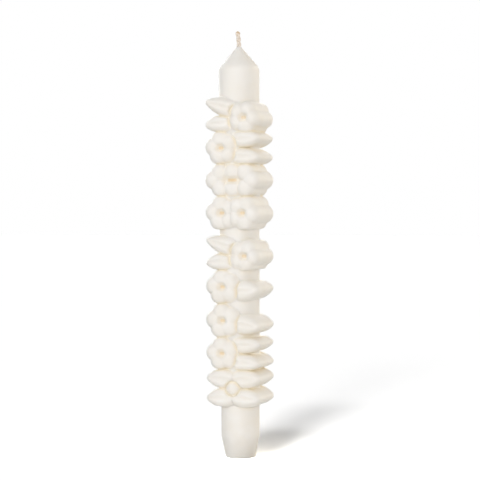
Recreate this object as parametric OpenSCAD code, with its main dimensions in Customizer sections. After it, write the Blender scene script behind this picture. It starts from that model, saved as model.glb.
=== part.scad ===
// Taper candle: an ivory wax shaft whose foot fits a candle socket, a garland of plump wax blossoms
// and leaves welded round it, and a plaited cotton wick that runs from the base to above the tip.
// Millimetres. The base is on Z = 0, the shaft stands along +Z and the garland's front faces -Y.

/* [Shaft] */
// Diameter of the flat base
base_d = 17.2; // [15:0.1:19]
// Rounding of the base's edge
base_round = 1; // [0.5:0.1:2]
// Height of the tapered foot
foot_h = 12; // [8:0.5:18]
// Diameter of the straight stretch that sits in the candle socket
peg_d = 22; // [20.5:0.1:22.5]
// Bare straight length between the foot and the garland
peg_len = 17.3; // [12:0.1:30]
// Diameter at the shoulder, a little wider than the peg
shoulder_d = 23.2; // [22.6:0.1:24]
// Rounding of the shoulder
shoulder_round = 3; // [1:0.5:4]
// Bare length between the garland and the shoulder
neck_len = 15.4; // [8:0.1:40]
// Height of the pointed tip above the shoulder
tip_h = 11.4; // [8:0.1:16]
// Diameter of the small flat where the wick comes out
tip_flat_d = 3.6; // [3.4:0.1:5]

/* [Garland] */
// Width of the garland from side to side
garland_w = 33; // [31:0.5:37]
// Depth of the garland from front to back
garland_d = 30; // [28:0.5:34]
// Rounding of a blossom or leaf where its side turns into its face
plump = 4; // [2.5:0.5:4.5]
// Gap between a welded piece and what it sits against
weld_gap = 0.05; // [0.02:0.01:0.1]
// Height of the lowest row, a whorl of four leaves round a bud
whorl_h = 21.3; // [19:0.1:24]
// Height of a row with one blossom and a pair of leaves
pair_h = 18; // [16:0.1:20]
// Height of a row with one blossom and a single leaf
single_h = 19; // [17:0.1:21]
// Height of a row with one blossom and a spray of two slanting leaves
spray_h = 21; // [19:0.1:23]
// Height of the row with two blossoms side by side
twin_h = 18.7; // [17:0.1:20]
// Height of the row with one wide blossom
wide_h = 18.2; // [17:0.1:20]
// Bare stretch of shaft under the twin blossoms
spacer = 1.7; // [0:0.1:10]
// Petals on a round blossom
petals = 5; // [5:1:7]
// Turn of every blossom about its heart
blossom_turn = 7; // [4:1:14]
// Width of the round hollow at a blossom's heart
heart_d = 4.6; // [3:0.1:5]
// Length of the slot at the wide blossom's heart
slot_len = 8; // [6:0.5:12]
// Radius of the bud at the middle of the whorl
bud_r = 4.4; // [3.5:0.1:5.5]
// Width of the groove along a leaf
vein_d = 1.6; // [0.8:0.1:2.4]
// Slant of the leaves in the whorl, the pairs and the single rows
leaf_tilt = 6; // [0:1:10]
// Slant of the long leaf in a spray
spray_tilt = 17; // [10:1:20]

/* [Wick] */
// Thickness of one cotton strand
strand_d = 0.86; // [0.7:0.01:0.95]
// Length over which the plait repeats
plait_pitch = 10.2; // [8:0.1:14]
// Bare wick above the tip
stub_len = 9.6; // [5:0.1:15]
// Sideways lean of the bare wick at its end
stub_lean = 0.7; // [0:0.1:2]
// Distance of the wick's lower end above the base
wick_recess = 1; // [0:0.5:4]

/* [Hidden] */
$fn = 72;
wax = [0.95, 0.93, 0.89];
cotton = [0.87, 0.79, 0.72];
base_r = base_d / 2;
peg_r = peg_d / 2;
shoulder_r = shoulder_d / 2;
tip_r = tip_flat_d / 2;
half_w = garland_w / 2;
// Rows from the lowest to the highest
ROWS = ["whorl", "pair", "single", "single", "spray", "twin", "wide", "pair", "spray"];
row_h = [for (kind = ROWS) row_height(kind)];
row_gap = [for (kind = ROWS) kind == "twin" ? spacer : 0];
whorl_row = rows_of("whorl")[0];
pair_rows = rows_of("pair");
single_rows = rows_of("single");
spray_rows = rows_of("spray");
twin_row = rows_of("twin")[0];
wide_row = rows_of("wide")[0];
top_row = len(ROWS) - 1;
garland_z = foot_h + peg_len;
neck_z = row_z(top_row) + row_h[top_row];
shoulder_z = neck_z + neck_len;
tip_z = shoulder_z + tip_h;
wick_z = tip_z + stub_len;
// Slopes of the foot and of the tip, and the fineness of the rounded edges between them
foot_slope = atan2(peg_r - base_r, foot_h);
tip_slope = atan2(shoulder_r - tip_r, tip_h);
arc_steps = 6;
// Room past an edge for a cut to run clear
over = 1;
// Most of a puff's radius that its soft edge may take
edge_share = 0.9;
// Share of a blossom's radius that one petal takes, and how far a blossom presses into its neighbours
petal_share = 0.54;
press = 1;
// The ball that hollows a blossom's heart sits this far behind its face
heart_sink = 1;
// Leaves reach past the shaft's middle by this much, and fill these shares of their row's height
leaf_past = 3.5;
whorl_fill = 0.53;
pair_fill = 0.55;
single_fill = 0.6;
single_drop = 2.2;
spray_fill = 0.5;
// A spray's blossom sits low in its row, and its leaves start at these shares of the row's height
spray_r = 9.5;
spray_drop = 2.6;
spray_high = 0.33;
spray_low = 0.31;
spray_long = 0.75;
low_leaf_lift = leaf_past / 4;
// The wide blossom's petals: their radius, and their places as shares of the oval they stand on
wide_petal_r = 5.4;
wide_oval = [half_w - wide_petal_r, wide_h / 2 + press / 2 - wide_petal_r];
wide_places = [
    [-1, 0], [-0.68, 1], [0, 1], [0.68, 1],
    [1, 0], [0.68, -1], [0, -1], [-0.68, -1]
];
// Three strands swing across and in and out of the plait by these shares of their thickness, so that
// none touches the next
strands = 3;
strand_r = strand_d / 2;
plait_wide = 0.97;
plait_deep = 0.73;
plait_x = plait_wide * strand_d;
plait_y = plait_deep * strand_d;
strand_sides = 6;
pitch_rings = 12;
strand_rings = ceil((wick_z - wick_recess) / plait_pitch * pitch_rings);
// A strand is farthest out a sixth of a turn after it crosses the middle
bore_r = sin(60) * norm([plait_x, plait_y]) + strand_r + 2 * weld_gap;

function row_height(kind) =
    kind == "whorl" ? whorl_h
    : kind == "pair" ? pair_h
    : kind == "single" ? single_h
    : kind == "spray" ? spray_h
    : kind == "twin" ? twin_h
    : wide_h;
function rows_of(kind) = [for (i = [0:len(ROWS) - 1]) if (ROWS[i] == kind) i];
function row_z(i) = i == 0 ? garland_z : row_z(i - 1) + row_h[i - 1] + row_gap[i];
function row_mid(i) = row_z(i) + row_h[i] / 2;
function shaft_r(z) = peg_r + (shoulder_r - peg_r) * (z - garland_z) / (shoulder_z - garland_z);
function arc(x, z, r, from, to) = [
    for (k = [0:arc_steps])
        let (a = from + (to - from) * k / arc_steps)
        [x + r * cos(a), z + r * sin(a)]
];
// Radius of the two arcs that make a pointed oval of a length and height
function oval_r(l, h) = l * l / (4 * h) + h / 4;
function strand_middle(k, z) =
    let (turn = 360 * (z - tip_z) / plait_pitch + 360 * k / strands, up = max(0, z - tip_z) / stub_len)
    [plait_x * sin(turn) - stub_lean * up * up, plait_y * sin(2 * turn), z];

// Shaft

module wax_shaft() {
    color(wax)
        difference() {
            rotate_extrude()
                polygon(concat(
                    [[0, 0]],
                    arc(base_r - base_round, base_round, base_round, -90, -foot_slope),
                    [[peg_r, foot_h], [peg_r, garland_z]],
                    arc(shoulder_r - shoulder_round, shoulder_z - shoulder_round * tan(tip_slope / 2),
                        shoulder_round, 0, tip_slope),
                    [[tip_r, tip_z], [0, tip_z]]
                ));
            translate([0, 0, -over])
                cylinder(h = tip_z + 2 * over, r = bore_r);
        }
}

// Room that the shaft takes inside the garland
module shaft_room() {
    low = garland_z - over;
    high = neck_z + over;
    translate([0, 0, low])
        cylinder(h = high - low, r1 = shaft_r(low) + weld_gap, r2 = shaft_r(high) + weld_gap);
}

// Shapes that the garland is made of

// Plump disc through the garland's depth, with soft edges on its front and back
module puff(r) {
    edge = min(plump, edge_share * r);
    rotate([90, 0, 0])
        rotate_extrude() {
            translate([0, -garland_d / 2])
                square([r - edge, garland_d]);
            translate([0, edge - garland_d / 2])
                square([r, garland_d - 2 * edge]);
            for (side = [-1, 1])
                translate([r - edge, side * (garland_d / 2 - edge)])
                    intersection() {
                        circle(edge);
                        translate([0, -edge])
                            square([edge, 2 * edge]);
                    }
        }
}

// Straight rod through the garland's depth
module rod(r, depth) {
    rotate([90, 0, 0])
        cylinder(h = depth, r = r, center = true);
}

module round_petals(r, turn) {
    for (k = [0:petals - 1])
        rotate([0, turn + blossom_turn + 360 * k / petals, 0])
            translate([r * (1 - petal_share), 0, 0])
                children();
}

module blossom(r, turn) {
    difference() {
        round_petals(r, turn)
            puff(r * petal_share);
        for (side = [-1, 1])
            translate([0, side * (garland_d / 2 - heart_sink), 0])
                rotate([90, 0, 0])
                    sphere(d = heart_d);
    }
}

// Room that a blossom takes, for what is tucked against it
module blossom_room(r, turn) {
    round_petals(r, turn)
        rod(r * petal_share + weld_gap, 2 * garland_d);
}

module leaf(l, h) {
    r = oval_r(l, h);
    difference() {
        intersection() {
            translate([0, 0, r - h / 2])
                puff(r);
            translate([0, 0, h / 2 - r])
                puff(r);
        }
        for (side = [-1, 1])
            translate([0, side * garland_d / 2, 0])
                rotate([0, 90, 0])
                    cylinder(h = l, d = vein_d, center = true);
    }
}

// Room that a leaf takes, for what is tucked against it
module leaf_room(l, h) {
    r = oval_r(l, h);
    intersection() {
        translate([0, 0, r - h / 2])
            rod(r + weld_gap, 2 * garland_d);
        translate([0, 0, h / 2 - r])
            rod(r + weld_gap, 2 * garland_d);
    }
}

// Space of one row, from one side to the other and from one height to the next
module row_room(i, left = -garland_w, right = garland_w, low = 0, high = 1) {
    translate([left, -garland_d, row_z(i) + low * row_h[i]])
        cube([right - left, 2 * garland_d, (high - low) * row_h[i]]);
}

// Whorl: four leaves round a bud

module whorl_bud() {
    color(wax)
        difference() {
            translate([0, 0, row_mid(whorl_row)])
                puff(bud_r);
            shaft_room();
        }
}

module whorl_leaf(k) {
    side = k % 2 == 0 ? -1 : 1;
    upper = k < 2 ? 0 : 1;
    level = 2 * upper - 1;
    l = half_w + leaf_past;
    color(wax)
        difference() {
            intersection() {
                row_room(whorl_row, min(0, side * garland_w), max(0, side * garland_w),
                    upper / 2, (upper + 1) / 2);
                translate([side * (half_w - l / 2), 0, row_mid(whorl_row) + level * whorl_h / 4])
                    rotate([0, -side * level * leaf_tilt / 2, 0])
                        leaf(l, whorl_h * whorl_fill);
            }
            shaft_room();
            translate([0, 0, row_mid(whorl_row)])
                rod(bud_r + weld_gap, 2 * garland_d);
        }
}

// Pair row: a blossom on the left and two leaves on the right

module pair_place(i) {
    r = pair_h / 2 + press;
    translate([r - half_w, 0, row_mid(i)])
        children();
}

module pair_blossom(i) {
    color(wax)
        difference() {
            intersection() {
                row_room(i);
                pair_place(i)
                    blossom(pair_h / 2 + press, 180);
            }
            shaft_room();
        }
}

module pair_leaf(i, upper) {
    level = 2 * upper - 1;
    l = half_w + leaf_past;
    color(wax)
        difference() {
            intersection() {
                row_room(i, low = upper / 2, high = (upper + 1) / 2);
                translate([half_w - l / 2, 0, row_mid(i) + level * pair_h * pair_fill / 2])
                    rotate([0, -level * leaf_tilt / 2, 0])
                        leaf(l, pair_h * pair_fill);
            }
            shaft_room();
            pair_place(i)
                blossom_room(pair_h / 2 + press, 180);
        }
}

// Single row: a blossom on the left and one leaf on the right

module single_place(i) {
    r = single_h / 2 + press;
    translate([r - half_w, 0, row_mid(i)])
        children();
}

module single_blossom(i) {
    color(wax)
        difference() {
            intersection() {
                row_room(i);
                single_place(i)
                    blossom(single_h / 2 + press, 180);
            }
            shaft_room();
        }
}

module single_leaf(i) {
    slant = i == single_rows[0] ? leaf_tilt : -leaf_tilt;
    l = half_w + leaf_past;
    color(wax)
        difference() {
            intersection() {
                row_room(i);
                translate([half_w - l / 2, 0, row_mid(i) - single_drop])
                    rotate([0, slant, 0])
                        leaf(l, single_h * single_fill);
            }
            shaft_room();
            single_place(i)
                blossom_room(single_h / 2 + press, 180);
        }
}

// Spray row: a blossom on the right and two slanting leaves on the left

module spray_place(i) {
    translate([half_w - spray_r, 0, row_mid(i) - spray_drop])
        children();
}

module spray_long_place(i) {
    l = garland_w * spray_long;
    translate([-half_w, 0, row_mid(i) + spray_h * spray_high])
        rotate([0, spray_tilt, 0])
            translate([l / 2, 0, 0])
                children();
}

module spray_blossom(i) {
    color(wax)
        difference() {
            intersection() {
                row_room(i);
                spray_place(i)
                    blossom(spray_r, 0);
            }
            shaft_room();
        }
}

module spray_leaf_high(i) {
    color(wax)
        difference() {
            intersection() {
                row_room(i);
                spray_long_place(i)
                    leaf(garland_w * spray_long, spray_h * spray_fill);
            }
            shaft_room();
            spray_place(i)
                blossom_room(spray_r, 0);
        }
}

module spray_leaf_low(i) {
    l = half_w + leaf_past;
    color(wax)
        difference() {
            intersection() {
                row_room(i);
                translate([l / 2 - half_w, 0, row_mid(i) - spray_h * spray_low + low_leaf_lift])
                    rotate([0, -leaf_tilt, 0])
                        leaf(l, spray_h * spray_fill);
            }
            shaft_room();
            spray_long_place(i)
                leaf_room(garland_w * spray_long, spray_h * spray_fill);
            spray_place(i)
                blossom_room(spray_r, 0);
        }
}

// Twin row: two blossoms side by side

module twin_blossom(side) {
    r = twin_h / 2 + press;
    color(wax)
        difference() {
            intersection() {
                row_room(twin_row, min(0, side * garland_w), max(0, side * garland_w));
                translate([side * (half_w - r), 0, row_mid(twin_row)])
                    blossom(r, side > 0 ? 0 : 180);
            }
            shaft_room();
        }
}

// Wide row: one blossom with its petals on an oval

module slot_hollow() {
    reach = (slot_len - heart_d) / 2;
    rotate([0, 90, 0])
        cylinder(h = 2 * reach, d = heart_d, center = true);
    for (end = [-1, 1])
        translate([end * reach, 0, 0])
            sphere(d = heart_d);
}

module wide_blossom() {
    color(wax)
        difference() {
            intersection() {
                row_room(wide_row);
                translate([0, 0, row_mid(wide_row)])
                    for (place = wide_places)
                        translate([place[0] * wide_oval[0], 0, place[1] * wide_oval[1]])
                            puff(wide_petal_r);
            }
            shaft_room();
            for (side = [-1, 1])
                translate([0, side * (garland_d / 2 - heart_sink), row_mid(wide_row)])
                    slot_hollow();
        }
}

// Wick

module wick_strand(k) {
    points = [
        for (i = [0:strand_rings], s = [0:strand_sides - 1])
            let (z = wick_recess + (wick_z - wick_recess) * i / strand_rings, a = 360 * s / strand_sides)
            strand_middle(k, z) + strand_r * [cos(a), sin(a), 0]
    ];
    walls = [
        for (i = [0:strand_rings - 1], s = [0:strand_sides - 1], half = [0, 1])
            let (a = i * strand_sides + s, b = i * strand_sides + (s + 1) % strand_sides)
            half == 0 ? [a, a + strand_sides, b + strand_sides] : [a, b + strand_sides, b]
    ];
    top = strand_rings * strand_sides;
    ends = [
        for (s = [1:strand_sides - 2], end = [0, 1])
            end == 0 ? [0, s, s + 1] : [top, top + s + 1, top + s]
    ];
    color(cotton)
        polyhedron(points, concat(walls, ends));
}

wax_shaft();
for (k = [1:strands])
    wick_strand(k - 1);
whorl_bud();
for (k = [1:4])
    whorl_leaf(k - 1);
for (k = [1:2]) {
    pair_blossom(pair_rows[k - 1]);
    pair_leaf(pair_rows[k - 1], 0);
    pair_leaf(pair_rows[k - 1], 1);
    single_blossom(single_rows[k - 1]);
    single_leaf(single_rows[k - 1]);
    spray_blossom(spray_rows[k - 1]);
    spray_leaf_low(spray_rows[k - 1]);
    spray_leaf_high(spray_rows[k - 1]);
}
twin_blossom(-1);  // twin_blossom_left
twin_blossom(1);  // twin_blossom_right
wide_blossom();
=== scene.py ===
"""Dresses a taper candle: an ivory wax shaft, a garland of blossoms and leaves, and a plaited wick."""

import logging
import math
from dataclasses import dataclass, field
from enum import Enum
from typing import Callable, Mapping, Protocol, Sequence

import bpy
import numpy as np
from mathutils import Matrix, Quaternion, Vector


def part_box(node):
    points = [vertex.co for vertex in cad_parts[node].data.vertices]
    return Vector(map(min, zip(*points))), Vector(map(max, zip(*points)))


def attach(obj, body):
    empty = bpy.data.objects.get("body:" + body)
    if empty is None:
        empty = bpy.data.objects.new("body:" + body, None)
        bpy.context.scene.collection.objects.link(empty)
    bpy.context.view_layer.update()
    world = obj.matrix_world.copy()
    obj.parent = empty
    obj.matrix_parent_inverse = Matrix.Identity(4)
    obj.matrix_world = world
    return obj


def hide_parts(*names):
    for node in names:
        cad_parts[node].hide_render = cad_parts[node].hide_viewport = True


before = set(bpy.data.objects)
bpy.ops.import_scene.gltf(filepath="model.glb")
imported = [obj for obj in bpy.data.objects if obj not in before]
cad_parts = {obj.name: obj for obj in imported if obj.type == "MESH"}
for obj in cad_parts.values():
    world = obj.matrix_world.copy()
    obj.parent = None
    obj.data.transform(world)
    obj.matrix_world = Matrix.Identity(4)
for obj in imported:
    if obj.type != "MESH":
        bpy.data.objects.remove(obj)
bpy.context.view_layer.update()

LOG = logging.getLogger("candle")
MM = 0.001
BODY = "root"
# Marks on the points from which the wax finish paints shade: in crevices and at the bottoms of the pits.
CREVICE = "crevice"
PIT = "pit"
CREVICE_REACHES = (1.2 * MM, 5.0 * MM)
FAR = 5.1 * MM
SOCKETS = {float: "NodeSocketFloat", int: "NodeSocketInt", bpy.types.Material: "NodeSocketMaterial"}

Array = np.ndarray
Form = Callable[[Array], Array]
Colour = tuple[float, float, float, float]
Span = tuple[float, float]
Sizes = dict[str, object]
Socket = bpy.types.NodeSocket
Sockets = Mapping[str, Socket]


class Slot(Enum):
    """The record's material slots."""

    WAX = "wax"
    COTTON = "cotton"


class Side(Enum):
    """The two sides of the garland, as signs of X."""

    LEFT = -1
    RIGHT = 1


class Level(Enum):
    """The lower and the upper half of a row, as signs of Z."""

    LOW = -1
    HIGH = 1


LEAF_NUMBERS = {
    (Level.LOW, Side.LEFT): 1,
    (Level.LOW, Side.RIGHT): 2,
    (Level.HIGH, Side.LEFT): 3,
    (Level.HIGH, Side.RIGHT): 4,
}


def soft_union(parts: Sequence[Array], blend: float) -> Array:
    """Joins several forms, with a rounded crease between them.

    Args:
        parts: Signed distances of the forms at the same points.
        blend: How far the crease is rounded.

    Returns:
        The signed distance of the joined form.
    """
    stack = np.stack(parts)
    least = stack.min(axis=0)
    return least - blend * np.log(np.exp((least - stack) / blend).sum(axis=0))


def soft_cut(body: Array, limit: Array, blend: float) -> Array:
    """Keeps the part of a form that lies inside a limit, with a rounded edge where they meet.

    Args:
        body: Signed distance of the form.
        limit: Signed distance of the limit.
        blend: How far the edge is rounded.

    Returns:
        The signed distance of what is left.
    """
    near = np.clip(blend - np.abs(body - limit), 0, None)
    return np.maximum(body, limit) + near * near / (4 * blend)


class Outline(Protocol):
    """A flat shape in the plane of the garland's face."""

    def distance(self, x: Array, z: Array) -> Array:
        """Gives the signed distance from the shape's edge, negative inside."""


@dataclass(frozen=True)
class Disc:
    """A round outline."""

    x: float
    z: float
    radius: float

    def distance(self, x: Array, z: Array) -> Array:
        """Gives the signed distance from the disc's edge."""
        return np.hypot(x - self.x, z - self.z) - self.radius


@dataclass(frozen=True)
class Petals:
    """The outline of a blossom: discs that run into each other."""

    discs: tuple[Disc, ...]
    blend: float = 0.28 * MM

    def distance(self, x: Array, z: Array) -> Array:
        """Gives the signed distance from the petals' common edge."""
        return soft_union([disc.distance(x, z) for disc in self.discs], self.blend)


@dataclass(frozen=True)
class PointedOval:
    """The outline of a leaf: two arcs that meet in a point at each end."""

    x: float
    z: float
    length: float
    height: float
    tilt: float
    blend: float = 2.2 * MM

    @property
    def along(self) -> tuple[float, float]:
        """Direction of the leaf's length, as X and Z. A positive tilt sinks its right end."""
        return math.cos(math.radians(self.tilt)), -math.sin(math.radians(self.tilt))

    def point(self, share: float) -> tuple[float, float]:
        """Gives the place on the middle line at a share of the half length, as X and Z."""
        reach = share * self.length / 2
        return self.x + reach * self.along[0], self.z + reach * self.along[1]

    def distance(self, x: Array, z: Array) -> Array:
        """Gives the signed distance from the leaf's edge.

        Args:
            x: Places from side to side.
            z: Heights.

        Returns:
            Signed distances, negative inside.
        """
        cosine, sine = self.along
        u = (x - self.x) * cosine + (z - self.z) * sine
        w = (z - self.z) * cosine - (x - self.x) * sine
        sharp = 2 * math.atan(self.height / self.length)
        length = self.length + self.blend / 2 / math.sin(sharp)
        arc = length**2 / (4 * self.height) + self.height / 4
        offset = arc - self.height / 2
        upper = np.hypot(u, w + offset) - arc
        lower = np.hypot(u, w - offset) - arc
        return soft_cut(upper, lower, self.blend)


@dataclass(frozen=True)
class Hollow:
    """A round-bottomed hollow in the front and back faces: a pit, a slot or a long groove."""

    start: tuple[float, float]
    end: tuple[float, float]
    radius: float
    depth: float
    rim: float
    # Radius of the painted shade at the hollow's bottom, 0 for none.
    spot: float = 0

    def across(self, points: Array) -> Array:
        """Gives the distance from the hollow's middle line, as seen from the front.

        Args:
            points: Rows of X, Y and Z.

        Returns:
            Distances.
        """
        x, _, z = points.T
        dx = self.end[0] - self.start[0]
        dz = self.end[1] - self.start[1]
        span = dx * dx + dz * dz
        share = np.clip(((x - self.start[0]) * dx + (z - self.start[1]) * dz) / span, 0, 1)
        return np.hypot(x - self.start[0] - share * dx, z - self.start[1] - share * dz)

    def distance(self, points: Array) -> Array:
        """Gives the signed distance from the hollow's wall, negative inside it."""
        below = np.minimum(np.abs(points[:, 1]) - self.depth, 0)
        return np.hypot(self.across(points), below) - self.radius

    def bottom_shade(self, points: Array) -> Array:
        """Tells how close points are to the hollow's bottom, from 0 to 1, for the painted shade there.

        Args:
            points: Rows of X, Y and Z.

        Returns:
            One number for each point, 0 everywhere if the hollow has no spot.
        """
        if self.spot == 0:
            return np.zeros(len(points))
        rise = np.abs(points[:, 1]) - self.depth + self.radius
        return np.clip(1 - np.hypot(self.across(points), rise) / self.spot, 0, 1)


@dataclass(frozen=True)
class Room:
    """The space that a piece may take, from one side to the other and from one height to the next."""

    low: float
    high: float
    left: float = -1.0
    right: float = 1.0

    def distance(self, x: Array, z: Array) -> Array:
        """Gives the signed distance from the room's nearest wall."""
        return np.maximum.reduce([self.low - z, z - self.high, self.left - x, x - self.right])


@dataclass(frozen=True)
class Unevenness:
    """The slow waves of poured and hand-finished wax: their length, their depth and how they mix."""

    length: float
    depth: float
    paces: tuple[float, float, float] = (1.0, 1.31, 0.83)
    bends: tuple[float, float, float] = (1.7, 2.1, 1.3)
    bend_paces: tuple[float, float, float] = (0.61, 0.43, 0.71)

    def sink(self, points: Array) -> Array:
        """Gives how far the surface sinks.

        Args:
            points: Rows of X, Y and Z.

        Returns:
            A depth for each point, from 0 to the most.
        """
        x, y, z = (points * (2 * math.pi / self.length)).T
        waves = (
            np.sin(self.paces[0] * x + self.bends[0] * np.sin(self.bend_paces[0] * z))
            + np.sin(self.paces[1] * y + self.bends[1] * np.cos(self.bend_paces[1] * x))
            + np.sin(self.paces[2] * z + self.bends[2] * np.sin(self.bend_paces[2] * y))
        )
        return self.depth * (waves + 3) / 6


def slopes(form: Form, points: Array, step: float) -> Array:
    """Gives a form's gradient by central differences.

    Args:
        form: Signed distance of the form.
        points: Rows of X, Y and Z.
        step: Distance to each side at which the form is read.

    Returns:
        One gradient for each point.
    """
    found = np.empty_like(points)
    for axis, direction in enumerate(np.eye(3) * step):
        found[:, axis] = (form(points + direction) - form(points - direction)) / (2 * step)
    return found


def settle(form: Form, points: Array, step: float, rounds: int = 3, flat: float = 0.3) -> Array:
    """Draws points onto a form's surface.

    Args:
        form: Signed distance of the form.
        points: Points near the surface.
        step: The most that a point moves in one round, twice over.
        rounds: Number of rounds.
        flat: The least square of a slope, below which the form is taken to be no flatter.

    Returns:
        The moved points.
    """
    for _ in range(rounds):
        slope = slopes(form, points, step / 4)
        steep = np.clip((slope * slope).sum(axis=1), flat, None)
        move = slope * (form(points) / steep)[:, None]
        length = np.linalg.norm(move, axis=1, keepdims=True)
        points = points - move * np.clip(step / 2 / np.maximum(length, step / 100), None, 1)
    return points


def wrap(form: Form, low: Array, high: Array, step: float, spare: float = 1.5) -> tuple[Array, Array]:
    """Wraps a form in an even net of four-sided faces.

    Args:
        form: Signed distance of the form.
        low: Lowest corner of the space that holds it.
        high: Highest corner of that space.
        step: Size of the net's faces.
        spare: Steps by which the net's grid passes that space.

    Returns:
        The points, and the faces as rows of four point numbers.
    """
    axes = [np.arange(a - spare * step, b + (spare + 1) * step, step) for a, b in zip(low, high)]
    grid = np.stack(np.meshgrid(*axes, indexing="ij"), axis=-1)
    values = form(grid.reshape(-1, 3)).reshape(grid.shape[:3])
    cells = tuple(n - 1 for n in values.shape)
    total = np.zeros((*cells, 3))
    count = np.zeros(cells)
    corner = np.stack(np.indices(cells), axis=-1)
    # Each grid edge that crosses the surface adds its crossing to the four cells round it.
    for axis in range(3):
        order = [axis, (axis + 1) % 3, (axis + 2) % 3]
        turned = values.transpose(order)
        here, there = turned[:-1], turned[1:]
        crossing = (here < 0) != (there < 0)
        share = np.where(crossing, here / np.where(crossing, here - there, 1), 0)
        sums = total.transpose([*order, 3])
        counts = count.transpose(order)
        place = corner.transpose([*order, 3])
        rows, columns = counts.shape[1:]
        for j in (0, 1):
            for k in (0, 1):
                cut = np.s_[:, j : rows + j, k : columns + k]
                hit = crossing[cut]
                sums[..., order[0]] += hit * (place[..., order[0]] + share[cut])
                sums[..., order[1]] += hit * (place[..., order[1]] + j)
                sums[..., order[2]] += hit * (place[..., order[2]] + k)
                counts += hit
    # A cell with crossings has one point, at their mean.
    active = count > 0
    number = np.full(cells, -1)
    number[active] = np.arange(active.sum())
    origin = np.array([a[0] for a in axes])
    points = origin + step * total[active] / count[active][:, None]
    faces = []
    # Each crossed edge is closed by one face through its four cells, turned to the outside.
    for axis in range(3):
        order = [axis, (axis + 1) % 3, (axis + 2) % 3]
        solid = values.transpose(order) < 0
        ids = number.transpose(order)
        leaving = solid[:-1, 1:-1, 1:-1] & ~solid[1:, 1:-1, 1:-1]
        entering = ~solid[:-1, 1:-1, 1:-1] & solid[1:, 1:-1, 1:-1]
        ring = [ids[:, :-1, :-1], ids[:, 1:, :-1], ids[:, 1:, 1:], ids[:, :-1, 1:]]
        faces.append(np.stack([part[leaving] for part in ring], axis=1))
        faces.append(np.stack([part[entering] for part in reversed(ring)], axis=1))
    return settle(form, points, step), np.concatenate(faces)


def mesh_object(name: str, points: Array, faces: Array) -> bpy.types.Object:
    """Makes a smooth-shaded mesh object at the origin.

    Args:
        name: Name of the object.
        points: Rows of X, Y and Z.
        faces: Rows of point numbers.

    Returns:
        The object, linked into the scene.
    """
    mesh = bpy.data.meshes.new(name)
    mesh.from_pydata(points.tolist(), [], faces.tolist())
    mesh.shade_smooth()
    made = bpy.data.objects.new(name, mesh)
    bpy.context.scene.collection.objects.link(made)
    return made


def mesh_points(mesh: bpy.types.Mesh) -> tuple[Array, Array]:
    """Reads a mesh's points and their normals.

    Args:
        mesh: The mesh to read.

    Returns:
        The points and the normals, as rows of X, Y and Z.
    """
    points = np.empty(len(mesh.vertices) * 3, np.float32)
    normals = np.empty(len(mesh.vertices) * 3, np.float32)
    mesh.vertices.foreach_get("co", points)
    mesh.vertex_normals.foreach_get("vector", normals)
    return points.reshape(-1, 3).astype(float), normals.reshape(-1, 3).astype(float)


def mark(made: bpy.types.Object, name: str, values: Array) -> None:
    """Stores a number on each point of a piece.

    Args:
        made: The piece.
        name: Name of the attribute.
        values: One number for each point.
    """
    attribute = made.data.attributes.new(name, "FLOAT", "POINT")
    attribute.data.foreach_set("value", values.astype(np.float32))


def mark_crevices(made: bpy.types.Object, forms: Sequence[Form]) -> None:
    """Marks how far into a crevice each point lies, from 0 in the open to 1, by how close wax lies along
    its normal; the wax finish paints shade from this mark.

    Args:
        made: The wax piece.
        forms: Signed distances of the wax around it and of the piece itself.
    """
    points, normals = mesh_points(made.data)
    shade = np.zeros(len(points))
    for reach in CREVICE_REACHES:
        probe = points + normals * reach
        nearest = np.minimum.reduce([form(probe) for form in forms])
        shade += np.clip(1 - nearest / reach, 0, 1) / len(CREVICE_REACHES)
    mark(made, CREVICE, shade)


@dataclass(frozen=True)
class Noise:
    """A layer of noise: its waves per metre, the number of its finer layers and their strength."""

    scale: float
    detail: float
    rough: float


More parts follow.
